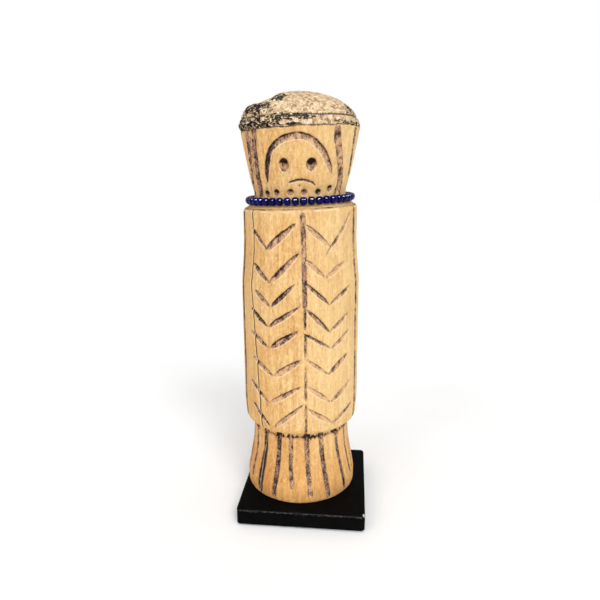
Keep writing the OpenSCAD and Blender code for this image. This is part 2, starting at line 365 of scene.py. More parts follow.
def carve_torso(c, points):
    broken = 1 - sum(np.exp(-((c.z - at) / run) ** 2) for at, run in ((108.5, 2.0), (90, 4.6), (66, 2.2)))
    c.line((121, 130, 150, STRING_Z - 5), (4.6, 4.3, 4.2, 3), 2.8, 1.15, 0.47)
    c.line((42, 66, 100, 123), (5.6, 5.4, 5.0, 4.6), 1.5, 0.7, 0.5, np.clip(broken, 0, 1))
    c.line((42, 60, 90, 175), (-73, -71.5, -71, -72), 3.0, 1.0, 0.75)
    c.line((42, 70, 110, 175), (70, 69, 67.5, 65.5), 3.1, 1.0, 0.5)
    c.line((42, 110, 175), (111, 112, 113), 2.2, 1.0, 0.75)
    c.line((42, 110, 175), (247, 248, 249), 2.2, 1.0, 0.75)
    c.line((43, 110, 175), (185, 184.5, 184), 2.6, 1.1, 0.65)
    jitter = np.random.default_rng(5)
    for side in (0, 180):
        loose = 0.5 if side == 0 else 2.0
        for row, (heights, angles) in enumerate(zip(CHEVRON_HEIGHTS, CHEVRON_ANGLES)):
            for start, end, depth, belly, widths, tones in STROKES:
                shift = jitter.uniform(-loose, loose, 4)
                a, z = angles[start] + shift[0], heights[start] + 0.3 * shift[1]
                if start == 1:
                    a += VALLEY_GAPS[row]
                if (row, start) == (0, 4):
                    a, z = LONG_STROKE
                c.leaf(side + a, z, side + angles[end] + shift[2], heights[end] + 0.3 * shift[3],
                       widths[row], belly, depth, tones[row])
    grime_and_shade = 0.5 + fractal(points, 6, 37, 2)
    # Painted shade under the torso's overhanging lower rim, with grime, in patches; then a thin dark line
    # at the shoulder's edge.
    c.ring(TORSO_Z - 2.2, 2.6, 1.1, 0.75 + 0.3 * grime_and_shade)
    c.ring(STRING_Z - 4.1, 0.7, 0.5, grime_and_shade + 0.15)
    # A painted highlight just below the shoulder's edge, broken up in patches.
    bare = 0.6 * (1 - ramp(0.0, 0.5, grime_and_shade))
    c.catch_light(slice(None), abs(c.z - STRING_Z + 5.2) + bare)


def carve_skirt(c):
    jitter = np.random.default_rng(8)
    back = []
    for i in range(BACK_FLUTES):
        a = 92 + (282 - 92) / (BACK_FLUTES - 1) * i + jitter.uniform(-2, 2)
        back.append((a, a + jitter.uniform(-4, 4), jitter.uniform(1, 9), 2.2, jitter.uniform(0.5, 0.85)))
    on_skirt = 1 - ramp(TORSO_Z - 0.2, TORSO_Z + 0.2, c.z)
    for top, bottom, foot, width, tone in FLUTES + back:
        ease = jitter.uniform(-1.2, 1.2)
        c.line((foot, 22, TORSO_Z + 6), (bottom, (bottom + top) / 2 + ease, top), width, 1.1, tone,
               on_skirt)
    c.line((4, 30), (-50.5, -47.5), 1.4, 0.8, 0.9)


def crack_gap(c, points):
    """Signed distance in mm from the drying crack, which runs down the doll's right side."""
    heights = (0, 26, 47, 62, 72, 88, 98, 119, 133, 152, 163, 175)
    angles = (-47, -46, -41.8, -41.8, -43.7, -45, -47, -49.7, -51.7, -49.3, -50.7, -52)
    gap = c.across(np.interp(c.z, heights, angles)) + 0.22 * value_noise(points, 5, 77)
    return np.where((c.z < heights[-1]) & (abs(gap) < FAR), gap, FAR)


def carved_surface(angle, z, radius, points):
    """How deep each point of the figure's side lies in mm, and its surface attributes."""
    c = Carving(angle, z, radius, points)
    carve_face(c)
    carve_head(c)
    carve_torso(c, points)
    carve_skirt(c)

    sin, cos = np.sin(np.radians(angle)), np.cos(np.radians(angle))
    cap_edge = CAP_Z + 0.7 + 1.5 * sin + 0.3 * cos + 0.6 * fractal(points, 7, 21, 3)
    cap = ramp(-0.3, 0.3, z - cap_edge)
    cap_depth, crust, seam, edge = cap_surface(angle, z, points, cap, cap_edge)

    # Long shallow knife facets on the wood, always inwards, and none on the shoulder.
    calm = ramp(2.0, 6.0, abs(z - (STRING_Z - 2)))
    facets = 0.16 * (1 + fractal(points * [1, 1, 0.3], 7, 71, 2)) * calm
    depth = (1 - cap) * (c.depth * (1 - cap) + facets) + cap * cap_depth
    crack = crack_gap(c, points)
    depth += 0.5 * np.clip(1 - abs(crack) / 0.5, 0, 1) * (1 - cap)
    return depth, {"inside": np.where(cap > 0.5, -FAR, c.inside), "tone": c.tone,
                   "lip": np.where(cap > 0.2, FAR, np.minimum(c.lip, FAR)), "cap": cap,
                   "crust": crust, "crack": crack, "seam": seam, "edge": edge}


def grid_figure(spacing):
    """The carved side of the figure as grids of positions and of surface attributes."""
    r0, z0 = outline(spacing)
    rows, columns = len(r0), int(2 * math.pi * TORSO_R / spacing)
    dr, dz = np.gradient(r0), np.gradient(z0)
    length = np.hypot(dr, dz)
    radius, z, out, up = (np.repeat(v, columns) for v in (r0, z0, dz / length, -dr / length))
    angle = np.tile(np.linspace(-180, 180, columns, endpoint=False), rows)
    sin, cos = np.sin(np.radians(angle)), np.cos(np.radians(angle))
    points = np.stack([radius * sin, -radius * cos, z], axis=1)
    depth, attributes = carved_surface(angle, z, np.maximum(radius, 1.0), points)

    # The neck and the shoulder are square to the tilted string of beads.
    tilt = ramp(160, 171, z) * (1 - ramp(186, 205, z)) * math.tan(TILT)
    r = radius - depth * out
    height = z - depth * up + tilt * r * sin
    # The torso's lower rim is not quite level: it is carved higher in front.
    height += 0.9 * np.clip(cos, 0, 1) * ramp(30, 42, z) * (1 - ramp(46, 62, z))
    height = np.maximum(height, 0.0)
    position = np.stack([r * sin, -r * cos, height], axis=1)
    position[:columns, 2] = 0.0
    return position, attributes, rows, columns


def cap_surface(angle, z, points, cap, cap_edge):
    """The rough cap: how deep each point lies, and its crust, seam and edge for the colours."""
    height = z - CAP_Z

    def patch(a, h, wide, high):
        """1 in the middle of a patch this many degrees wide and mm high, falling off round it."""
        return np.exp(-(turn(angle, a) / wide) ** 2 - ((height - h) / high) ** 2)

    # Old crust: thick on the rim at the doll's right, over the brow and on the crown's ledge.
    crust = 0.95 * patch(-66, 2.6, 27, 3.8) + 0.6 * patch(-36, 1.5, 16, 2.4)
    crust += 1.0 * patch(-14, 5.7, 15, 1.8) + 0.95 * patch(6, 5.7, 12, 1.6)
    crust += 0.7 * patch(-8, 1.8, 14, 1.2) + 0.7 * patch(62, 2.8, 20, 2.0)
    crust += 1.0 * patch(-57, 10.8, 19, 2.6) + 1.0 * patch(-31, 16.8, 14, 2.8)
    crust += 0.5 * patch(-42, 10, 22, 4) + 0.6 * patch(64, 11, 18, 3.5) + 0.55 * patch(36, 3.6, 12, 1.2)
    crust += 0.6 * patch(150, 3, 40, 3.5) + 0.55 * patch(-130, 8, 25, 7) + 0.4 * patch(100, 6, 20, 3)
    crust = np.clip(crust, 0, 1) * cap
    seam_z = CAP_Z + 6.9 + 0.8 * np.sin(np.radians(angle)) + 0.5 * value_noise(points, 12, 51)
    seam = np.minimum(abs(z - seam_z) + FAR * (1 - cap), FAR)
    edge = np.clip(z - cap_edge, -FAR, FAR)

    # The crown has a lower ledge on the doll's right, and end grain full of pits.
    x = points[:, 0] + 1.2 * value_noise(points, 8, 61)
    ledge = ramp(-11.5, -16, x) * ramp(12.5, 16, height)
    shoulder = patch(-70, 10.5, 36, 5.0)
    lumps = 0.40 * fractal(points, 9, 63, 2)
    pits = np.clip(value_noise(points * [1, 1, 0.6], 2.2, 65) - 0.45, 0, 1) * 1.3
    flakes = 0.55 * fractal(points, 1.6, 67, 2) * ramp(0.25, 0.7, crust)
    depth = 0.8 + lumps + pits + 1.3 * ledge - 1.3 * shoulder - 0.4 * crust + flakes
    depth += 0.6 * np.clip(1 - seam / 0.9, 0, 1) - 0.3 * patch(0, 3.5, 900, 2.6)
    return depth, crust, seam, edge


# -------- meshes

def new_object(name, mesh):
    obj = bpy.data.objects.new(name, mesh)
    SCENE.collection.objects.link(obj)
    return obj


def shade_smooth(mesh):
    mesh.polygons.foreach_set("use_smooth", [True] * len(mesh.polygons))


def mesh_object(name, vertices, faces):
    mesh = bpy.data.meshes.new(name)
    mesh.from_pydata([tuple(v) for v in vertices], [], [tuple(int(i) for i in f) for f in faces])
    mesh.update()
    shade_smooth(mesh)
    return new_object(name, mesh)


def store(mesh, name, values):
    attribute = mesh.attributes.new(name, "FLOAT", "POINT")
    attribute.data.foreach_set("value", np.asarray(values, np.float32))


def apply_modifiers(obj):
    graph = bpy.context.evaluated_depsgraph_get()
    mesh = bpy.data.meshes.new_from_object(obj.evaluated_get(graph))
    obj.modifiers.clear()
    obj.data = mesh


def quads_round(rows, columns, closed=False):
    """Faces between rings of points; closed joins the last ring to the first."""
    i, j = np.ix_(np.arange(rows if closed else rows - 1), np.arange(columns))
    here, above, k = i * columns, (i + 1) % rows * columns, (j + 1) % columns
    return np.stack([here + j, here + k, above + k, above + j], axis=-1).reshape(-1, 4)


def foot_with_sockets(ring):
    """The flat foot inside the hem's ring, with a blind socket for each pin: points and faces."""
    count, socket_r = 40, PIN_D / 2 + PIN_GAP
    pins = [Vector((side * PIN_SPACING / 2, 0)) for side in (-1, 1)]
    a = np.linspace(0, 2 * math.pi, count, endpoint=False)
    circle = socket_r * np.stack([np.cos(a), np.sin(a)], axis=1)
    sockets = [circle + pin[:] for pin in pins]
    flat = np.concatenate([ring] + sockets)
    edges, start = [], 0
    for loop in (ring, *sockets):
        n = len(loop)
        edges += [(start + i, start + (i + 1) % n) for i in range(n)]
        start += n
    points, _, triangles, _, _, _ = delaunay_2d_cdt([Vector(p) for p in flat], edges, [], 0, 1e-6)
    faces = []
    for t in triangles:
        centre = sum((points[i] for i in t), Vector((0, 0))) / 3
        if all((centre - pin).length > socket_r * 0.97 for pin in pins):
            faces.append(tuple(reversed(t)))
    vertices = [(p.x, p.y, 0.0) for p in points]
    drill_point = 0.6
    for s, socket in enumerate(sockets):
        rim, roof = len(ring) + s * count, len(vertices)
        vertices += [(x, y, SOCKET_DEPTH) for x, y in socket]
        vertices.append((*socket.mean(0), SOCKET_DEPTH + drill_point))
        for i in range(count):
            k = (i + 1) % count
            faces += [(rim + k, rim + i, roof + i), (rim + k, roof + i, roof + k),
                      (roof + k, roof + i, roof + count)]
    return vertices, faces


def make_figure():
    position, attributes, rows, columns = grid_figure(GRID_STEP)
    top, last = len(position), (rows - 1) * columns
    faces = list(quads_round(rows, columns))
    faces += [(last + i, last + (i + 1) % columns, top) for i in range(columns)]
    # The foot's first points are the hem's own, which the grid starts with.
    under, under_faces = foot_with_sockets(position[:columns, :2])
    vertices = np.vstack([position, position[-columns:].mean(0), under[columns:]])
    faces += [[i if i < columns else i - columns + top + 1 for i in f] for f in under_faces]
    figure = mesh_object("carved_wood_figure", vertices * MM, faces)
    mesh = figure.data

    plain = {"inside": -FAR, "crack": FAR, "seam": FAR, "lip": FAR, "edge": -FAR}
    for name, values in attributes.items():
        padding = np.full(len(vertices) - top, plain.get(name, 0.0))
        if name in ("cap", "crust", "edge"):
            padding[0] = values[-columns:].mean()  # the point that closes the crown
        store(mesh, name, np.r_[values, padding])

    triangles = sum(len(p.vertices) - 2 for p in mesh.polygons)
    if triangles > MOST_TRIANGLES:
        thin = figure.modifiers.new("thin", "DECIMATE")
        thin.ratio = THINNED_TRIANGLES / triangles
        apply_modifiers(figure)
    figure.data.transform(TO_ROW)
    shade_smooth(figure.data)
    return figure


def lathe(name, section, segments, matrix):
    """A closed ring of section points (radius, height) turned about Z, in mm, then placed."""
    turns = [2 * math.pi * i / segments for i in range(segments)]
    vertices = [(r * math.cos(a), r * math.sin(a), z) for a in turns for r, z in section]
    faces = quads_round(segments, len(section), closed=True)[:, ::-1]
    obj = mesh_object(name, np.array(vertices) * MM, np.roll(faces, 1, axis=1))
    obj.data.transform(matrix)
    return obj


def on_string(degrees):
    """The place on the string at an angle from its front, with local Z along the thread."""
    return (TO_STRING @ Matrix.Rotation(math.radians(degrees - 90), 4, "Z")
            @ Matrix.Translation((STRING_R * MM, 0, 0)) @ Matrix.Rotation(math.pi / 2, 4, "X"))


def make_beads():
    """Pressed glass beads, no two quite the same: a little longer or thinner, and a little askew."""
    rng = np.random.default_rng(23)
    pitch = 360 / (BEAD_COUNT + 1)
    for i in range(1, BEAD_COUNT + 1):
        r = BEAD_D / 2 * rng.uniform(0.965, 1.0)
        half = BEAD_L / 2 * rng.uniform(0.93, 1.0)
        hole = BEAD_HOLE / 2
        round_r = r - hole - rng.uniform(0.12, 0.22)
        section = arc(r - round_r, half - round_r, round_r, 0, 84, 9)
        section += [(hole + 0.04, half - 0.02), (hole, half - 0.12), (hole, -half + 0.12),
                    (hole + 0.04, -half + 0.02)]
        section += arc(r - round_r, round_r - half, round_r, -84, 0, 9)
        tip, lean = (Matrix.Rotation(math.radians(rng.uniform(-2.5, 2.5)), 4, axis) for axis in "XY")
        bead = lathe(f"glass_bead_{i:02d}", section, 36, on_string(180 + i * pitch) @ tip @ lean)
        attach(bead, "necklace")
        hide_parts(f"bead_{i:02d}")
        yield bead


def twisted_cord(name, path, radius, closed, turn_length):
    """A two-ply twisted thread along a list of points in mm."""
    if closed:
        tangent = np.roll(path, -1, 0) - np.roll(path, 1, 0)
    else:
        tangent = np.gradient(path, axis=0)
    tangent /= np.linalg.norm(tangent, axis=1)[:, None]
    length = np.r_[0, np.cumsum(np.linalg.norm(np.diff(path, axis=0), axis=1))]
    rings, sides = len(path), 14
    vertices, up = [], np.array([0.0, 0.0, 1.0])
    for p, t, s in zip(path, tangent, length):
        side = np.cross(t, up)
        side /= np.linalg.norm(side)
        up = np.cross(side, t)
        for j in range(sides):
            a = 2 * math.pi * j / sides
            ply = 0.80 + 0.20 * abs(math.cos(a - math.pi * s / turn_length))
            vertices.append(p + radius * ply * (math.cos(a) * side + math.sin(a) * up))
    faces = list(quads_round(rings, sides, closed))
    if not closed:
        faces += [tuple(reversed(range(sides))), tuple(range((rings - 1) * sides, rings * sides))]
    return mesh_object(name, np.array(vertices) * MM, faces)


def make_thread():
    a = np.linspace(0, 2 * math.pi, 720, endpoint=False)
    path = np.stack([STRING_R * np.cos(a), STRING_R * np.sin(a), 0 * a], axis=1)
    turns = 120
    thread = twisted_cord("bead_thread", path, THREAD_D / 2 * 0.95, True,
                          2 * math.pi * STRING_R / turns)
    thread.data.transform(TO_STRING)
    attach(thread, "necklace")
    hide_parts("necklace_thread")
    return thread


def make_knot():
    """An overhand knot drawn tight round the thread, with two short cut ends."""
    t = np.linspace(0, 2 * math.pi, 160, endpoint=False)
    size = KNOT_D / 2 * 0.2
    loop = np.stack([size * (np.sin(t) + 2 * np.sin(2 * t)), size * (np.cos(t) - 2 * np.cos(2 * t)),
                     -1.6 * size * np.sin(3 * t)], axis=1)
    knot = twisted_cord("thread_knot", loop, THREAD_D / 2 * 0.9, True, 0.9)
    tails = []
    s = np.linspace(0, 1, 14)
    for lean in (-1, 1):
        tail = np.stack([0.4 + 2.1 * s, 0.25 * lean * s - 1.0 * s ** 2 - 0.3 * s,
                         lean * (0.3 + 1.1 * s)], axis=1)
        tails.append(twisted_cord(f"thread_tail_{lean}", tail, THREAD_D / 2 * 0.9, False, 0.9))
    with bpy.context.temp_override(active_object=knot, selected_editable_objects=[knot, *tails]):
        bpy.ops.object.join()
    knot.data.transform(on_string(180))
    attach(knot, "necklace")
    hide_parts("necklace_knot")
    return knot


def rounded_plate(name, low, high, top_edge, bottom_edge):
    """A square plate with round upright corners and softly rounded edges, as evenly cut quads."""
    corner, top_edge, bottom_edge = PLATE_CORNER * MM, top_edge * MM, bottom_edge * MM
    half = Vector(((high.x - low.x) / 2, (high.y - low.y) / 2))
    middle = Vector(((high.x + low.x) / 2, (high.y + low.y) / 2))
    corner_steps, side_steps = 10, 60
    corners = [(x * (half.x - corner), y * (half.y - corner)) for x, y in SQUARE]
    around = []
    for quarter, (cx, cy) in enumerate(corners):
        for i in range(corner_steps + 1):
            a = math.radians(quarter * 90 + 90 * i / corner_steps)
            around.append((cx, cy, math.cos(a), math.sin(a)))
        next_cx, next_cy = corners[(quarter + 1) % 4]
        for i in range(1, side_steps):
            f = i / side_steps
            around.append((cx + (next_cx - cx) * f, cy + (next_cy - cy) * f, math.cos(a), math.sin(a)))
    rings = [(-bottom_edge + bottom_edge * math.sin(a), low.z + bottom_edge * (1 - math.cos(a)))
             for a in np.radians((0, 22.5, 45, 67.5, 90))]
    for f in np.linspace(0, 1, 9)[1:-1]:
        rings.append((0, low.z + bottom_edge + (high.z - low.z - bottom_edge - top_edge) * f))
    rings += [(-top_edge * (1 - math.cos(a)), high.z - top_edge * (1 - math.sin(a)))
              for a in np.radians((0, 15, 30, 45, 60, 75, 90))]
    vertices = []
    for inset, z in rings:
        for cx, cy, c, s in around:
            vertices.append((middle.x + cx + c * (corner + inset),
                             middle.y + cy + s * (corner + inset), z))
    # The top is closed by ever smaller rings, and a small face in its middle.
    shrinks = (0.0009, 0.002, 0.004, 0.008, 0.016, 0.026)
    for shrink in shrinks:
        k = 1 - shrink / half.x
        for cx, cy, c, s in around:
            vertices.append((middle.x + (cx + c * (corner - top_edge)) * k,
                             middle.y + (cy + s * (corner - top_edge)) * k, high.z))
    n, total = len(around), len(rings) + len(shrinks)
    faces = list(quads_round(total, n))
    faces += [tuple(reversed(range(n))), tuple(range((total - 1) * n, total * n))]
    return mesh_object(name, vertices, faces)


def bore_pins(obj, low, high):
    """Cuts the two pin holes through an object between two heights, so that the pins fill them."""
    holes = bmesh.new()
    for side in (-1, 1):
        place = TO_ROW @ Matrix.Translation((side * PIN_SPACING / 2 * MM, 0, (low + high) / 2 - FOOT.z))
        bmesh.ops.create_cone(holes, cap_ends=True, segments=64, radius1=PIN_D / 2 * MM,
                              radius2=PIN_D / 2 * MM, depth=high - low, matrix=place)
    mesh = bpy.data.meshes.new("holes")
    holes.to_mesh(mesh)
    holes.free()
    tool = new_object("holes", mesh)
    cut = obj.modifiers.new("holes", "BOOLEAN")
    cut.operation, cut.object, cut.solver = "DIFFERENCE", tool, "EXACT"
    apply_modifiers(obj)
    bpy.data.objects.remove(tool)


def make_base():
    """Lacquered plate, with the lacquer rubbed off along its top edge, where its material also paints a
    highlight in front, and a chip at one corner.
    """
    base = rounded_plate("lacquered_base", BASE_LOW, BASE_HIGH, BASE_EDGE, BASE_FOOT_EDGE)
    co = np.array([v.co for v in base.data.vertices])
    points = co / MM
    high, middle = BASE_HIGH, (BASE_LOW + BASE_HIGH) / 2
    out = np.maximum(abs(co[:, 0] - middle.x) / (high.x - middle.x),
                     abs(co[:, 1] - middle.y) / (high.y - middle.y))
    side_gap = (1 - out) * (high.x - middle.x) / MM
    top_gap = (high.z - co[:, 2]) / MM
    edge_gap = np.hypot(side_gap, top_gap - 0.8)
    chip_at = np.array([high.x / MM - 0.3, BASE_LOW.y / MM + 1.6, high.z / MM - 0.1])
    chip = np.clip(1 - np.linalg.norm(points - chip_at, axis=1) / 1.7, 0, 1)
    dents = 0.05 * fractal(points, 2.0, 81, 2) * ramp(3, 0, edge_gap)
    inward = np.stack([middle.x - co[:, 0], middle.y - co[:, 1], np.full(len(co), -0.02)], axis=1)
    inward /= np.linalg.norm(inward, axis=1)[:, None]
    push = (np.clip(dents, 0, 1) + 0.9 * chip ** 1.5) * (co[:, 2] > BASE_LOW.z + 0.001)
    co += inward * push[:, None] * MM
    base.data.vertices.foreach_set("co", co.ravel())
    store(base.data, "edge_gap", edge_gap)
    store(base.data, "chip", chip)
    bore_pins(base, FOOT.z - PIN_SEAT * MM, FOOT.z + 2 * MM)
    shade_smooth(base.data)
    base.data.update()
    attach(base, "stand")
    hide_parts("display_base")
    return base


def make_felt():
    felt = rounded_plate("felt_sheet", FELT_LOW, FELT_HIGH, FELT_EDGE, FELT_FOOT_EDGE)
    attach(felt, "stand")
    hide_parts("felt_underlay")
    return felt


# -------- materials

def colour(red, green, blue):
    """A screen colour, 0 to 255, as the linear colour that the shaders take."""
    linear = [c / 255 / 12.92 if c <= 10 else ((c / 255 + 0.055) / 1.055) ** 2.4
              for c in (red, green, blue)]
    return (*linear, 1.0)


class Shader:
    """A material's node tree, with the few kinds of node that the materials here use."""

    def __init__(self, name):
        self.material = bpy.data.materials.new(name)
        self.material.use_nodes = True
        self.tree = self.material.node_tree
        place = self.add("ShaderNodeTexCoord", ()).outputs["Object"]
        self.mm = self.stretched(place, (1000, 1000, 1000))

    def put(self, socket, value):
        if isinstance(value, bpy.types.NodeSocket):
            self.tree.links.new(value, socket)
        else:
            socket.default_value = value

    def add(self, kind, inputs, **settings):
        """A node with these settings, and with these values in its inputs, by place or by name."""
        node = self.tree.nodes.new(kind)
        for key, value in settings.items():
            setattr(node, key, value)
        for key, value in inputs.items() if isinstance(inputs, dict) else enumerate(inputs):
            self.put(node.inputs[key], value)
        return node

    def stretched(self, place, by):
        return self.add("ShaderNodeVectorMath", (place, by), operation="MULTIPLY").outputs[0]

    def noise(self, stretch, detail, roughness, distortion=0.0):
        """Noise from 0 to 1, with this many lumps in a millimetre, or this many along X, Y and Z."""
        stretch = stretch if isinstance(stretch, tuple) else (stretch,) * 3
        inputs = {"Vector": self.stretched(self.mm, stretch), "Scale": 1.0, "Detail": detail,
                  "Roughness": roughness, "Distortion": distortion}
        return self.add("ShaderNodeTexNoise", inputs).outputs["Fac"]

    def axis(self, name):
        """The place along X, Y or Z, in mm."""
        return self.add("ShaderNodeSeparateXYZ", (self.mm,)).outputs[name]

    def attribute(self, name):
        return self.add("ShaderNodeAttribute", (), attribute_name=name).outputs["Fac"]

    def math(self, operation, a, b=0.0, c=0.0, clamp=False):
        return self.add("ShaderNodeMath", (a, b, c), operation=operation, use_clamp=clamp).outputs[0]

    def times(self, a, b, plus=0.0, clamp=False):
        return self.math("MULTIPLY_ADD", a, b, plus, clamp)

    def waver(self, noise, amount, value):
        """value, moved up and down by a noise."""
        return self.times(self.math("SUBTRACT", noise, 0.5), amount, value)

    def step(self, value, low, high, to_low=0.0, to_high=1.0):
        """to_low below low, to_high above high, smooth between."""
        inputs = (value, low, high, to_low, to_high)
        return self.add("ShaderNodeMapRange", inputs, interpolation_type="SMOOTHSTEP").outputs[0]

    def tones(self, value, *stops):
        """A colour ramp through stops: a position and the red, green and blue of a screen colour."""
        node = self.add("ShaderNodeValToRGB", (value,))
        elements = node.color_ramp.elements
        while len(elements) < len(stops):
            elements.new(0.5)
        for element, (position, *rgb) in zip(elements, stops):
            element.position, element.color = position, colour(*rgb)
        return node.outputs["Color"]

    def mix(self, amount, a, b, blend="MIX"):
        """Lays b over a. Either is a socket or the red, green and blue of a screen colour."""
        node = self.add("ShaderNodeMix", {"Factor": amount}, data_type="RGBA", blend_type=blend)
        for socket, value in zip([s for s in node.inputs if s.type == "RGBA"], (a, b)):
            self.put(socket, colour(*value) if isinstance(value, tuple) else value)
        return next(s for s in node.outputs if s.type == "RGBA")

    def bump(self, height, distance_mm, strength):
        inputs = {"Strength": strength, "Distance": distance_mm * MM, "Height": height}
        return self.add("ShaderNodeBump", inputs).outputs["Normal"]

    def finish(self, **inputs):
        surface = self.tree.nodes["Principled BSDF"]
        for name, value in inputs.items():
            self.put(surface.inputs[name.replace("_", " ")], value)
        return self.material


def bare_wood(s, fine, speck):
    """Pale wood: grain along the billet, clouds, painted light and shade to the sides, and a darker,
    warmer tint low down.
    """
    streak = s.noise((0.55, 0.55, 0.03), 4, 0.6, 0.4)
    mottle = s.noise((0.75, 0.75, 0.5), 5, 0.68)
    grain = s.times(mottle, 0.38, s.times(fine, 0.28, s.times(streak, 0.34)))
    wood = s.tones(grain, (0.38, 184, 136, 80), (0.46, 214, 170, 111), (0.53, 225, 186, 128),
                   (0.62, 239, 208, 151))
    cloud = s.noise((0.07, 0.07, 0.035), 3, 0.5)
    wood = s.mix(s.step(cloud, 0.40, 0.66, 0.0, 0.5), wood, (238, 216, 182), "MULTIPLY")
    # Painted light and shade: paler towards +X, darker towards -X.
    wood = s.mix(s.step(s.axis("X"), -8, 16, 0.0, 0.24), wood, (250, 226, 170))
    wood = s.mix(s.step(s.axis("X"), -34, -17, 0.4, 0.0), wood, (208, 160, 100))
    wood = s.mix(s.step(s.axis("Z"), 18, 70, 1.0, 0.0), wood, (246, 226, 200), "MULTIPLY")
    pale = s.noise((0.28, 0.28, 0.14), 4, 0.7, 0.5)
    wood = s.mix(s.step(pale, 0.56, 0.70, 0.0, 0.42), wood, (246, 220, 170))
    brown = s.noise((0.22, 0.22, 0.06), 5, 0.7, 0.8)
    wood = s.mix(s.step(brown, 0.54, 0.72, 0.0, 0.5), wood, (194, 140, 88))
    return s.mix(s.step(speck, 0.60, 0.72, 0.0, 0.5), wood, (158, 108, 66))


def stain_cuts(s, wood, ragged, mask, speck, rub):
    """Old colour and grime rubbed into the cuts, thin on the floor; painted shade darkens them under the
    upper edge, and a painted highlight runs along the lower lip.
    """
    tone = s.attribute("tone")
    smear = s.noise((0.32, 0.32, 0.2), 3, 0.6, 0.4)
    stain = s.tones(s.math("ADD", tone, s.waver(speck, 2.2, s.waver(smear, 2.4, 0.0))),
                    (0.0, 218, 176, 132), (0.22, 192, 148, 112), (0.44, 156, 122, 103),
                    (0.64, 106, 80, 70), (0.84, 46, 33, 31), (1.0, 16, 12, 14))
    halo = s.times(s.step(ragged, -0.9, -0.1, 0.0, 0.45), s.step(tone, 0.2, 0.9))
    wood = s.mix(halo, wood, (166, 114, 68))
    wood = s.mix(s.times(mask, s.step(tone, 0.0, 0.35, 0.7, 0.96)), wood, stain)
    # Painted highlight along the lower lips of the cuts and pits, and just below the shoulder's edge.
    lip = s.waver(rub, 0.8, s.attribute("lip"))
    return s.mix(s.step(lip, 0.10, 0.42, 0.6, 0.0), wood, (250, 226, 182))


def split_wood(s, wood):
    """The drying crack, torn and paler along one side: the colour, and where it is open."""
    crack = s.attribute("crack")
    gap = s.math("ABSOLUTE", crack)
    torn = s.times(s.step(gap, 0.42, 0.50), s.step(gap, 0.66, 0.84, 1.0, 0.0))
    torn = s.times(torn, s.step(s.axis("Z"), 44, 62, 0.35, 0.8))
    wood = s.mix(s.times(torn, s.step(crack, -0.2, 0.3, 1.0, 0.05)), wood, (252, 228, 180))
    is_open = s.step(gap, 0.32, 0.50, 1.0, 0.0)
    return s.mix(s.times(is_open, 0.95), wood, (34, 25, 25)), is_open


def cap_colours(s, lines, fleck, rub):
    """Bare end grain, greyer and pinker, with pits, faint growth rings, a seam and old crust."""
    rings = s.math("SINE", s.times(s.noise((0.05, 0.05, 0.012), 2, 0.4, 0.3), 170))
    cap = s.tones(s.times(rings, 0.035, lines), (0.32, 140, 106, 80), (0.42, 188, 155, 118),
                  (0.51, 216, 188, 148), (0.64, 242, 222, 186))
    blotch = s.noise(0.16, 4, 0.65, 0.6)
    cap = s.mix(s.step(blotch, 0.46, 0.66, 0.0, 0.5), cap, (204, 184, 164), "MULTIPLY")
    pit = s.noise(0.26, 3, 0.55, 0.3)
    cap = s.mix(s.step(pit, 0.60, 0.67, 0.0, 0.7), cap, (118, 80, 58))
    seam = s.waver(rub, 2.2, s.attribute("seam"))
    cap = s.mix(s.step(seam, 0.2, 0.75, 0.9, 0.0), cap, (50, 37, 33))
    flake = s.noise((0.32, 0.32, 0.45), 5, 0.66, 0.8)
    crust = s.tones(fleck, (0.42, 14, 10, 9), (0.50, 44, 33, 26), (0.55, 108, 82, 60),
                    (0.59, 200, 176, 136), (0.66, 244, 230, 200))
    density = s.waver(s.attribute("crust"), 0.6, flake)
    return s.mix(s.step(density, 0.45, 0.50), cap, crust)


def wood_material():
    s = Shader("carved_wood")
    fine = s.noise((2.4, 2.4, 0.22), 4, 0.6)
    rub = s.noise((1.5, 1.5, 0.9), 5, 0.65)
    speck = s.noise((1.25, 1.25, 0.9), 4, 0.7)
    lines = s.noise((0.5, 0.5, 0.34), 4, 0.55, 0.9)
    fleck = s.noise((0.42, 0.42, 0.75), 4, 0.6, 0.8)
    ragged = s.waver(rub, 0.75, s.attribute("inside"))
    mask = s.step(ragged, -0.12, 0.16)
    on_cap = s.step(s.attribute("cap"), 0.35, 0.65)
    wood = stain_cuts(s, bare_wood(s, fine, speck), ragged, mask, speck, rub)
    wood, open_crack = split_wood(s, wood)
    final = s.mix(on_cap, wood, cap_colours(s, lines, fleck, rub))
    edge = s.waver(rub, 2.4, s.math("ABSOLUTE", s.attribute("edge")))
    final = s.mix(s.step(edge, 0.12, 0.5, 0.9, 0.0), final, (40, 29, 26))

    rough = s.times(on_cap, 0.18, s.times(fine, 0.22, s.times(mask, 0.25, 0.42)), clamp=True)
    tool_marks = s.noise((0.9, 0.9, 0.12), 3, 0.5)
    height = s.times(tool_marks, 0.5, s.times(fine, 0.3))
    height = s.times(s.times(mask, speck), 1.3, height)
    height = s.times(s.times(on_cap, s.math("ADD", lines, fleck)), 0.8, height)
    height = s.times(open_crack, -1.5, height)
    return s.finish(Base_Color=final, Roughness=rough, Normal=s.bump(height, 0.32, 0.8),
                    Specular_IOR_Level=0.05, IOR=1.5)


def glass_material():
    s = Shader("blue_glass")
    swirl = s.noise(0.5, 3, 0.5, 1.0)
    tint = s.tones(swirl, (0.36, 0, 0, 36), (0.52, 1, 0, 72), (0.68, 4, 2, 124))
    dust = s.noise(2.0, 3, 0.5)
    dimples = s.noise(0.9, 2, 0.5)
    return s.finish(Base_Color=tint, Roughness=s.step(dust, 0.45, 0.8, 0.05, 0.14), IOR=1.5,
                    Specular_IOR_Level=0.1, Normal=s.bump(dimples, 0.015, 0.5))


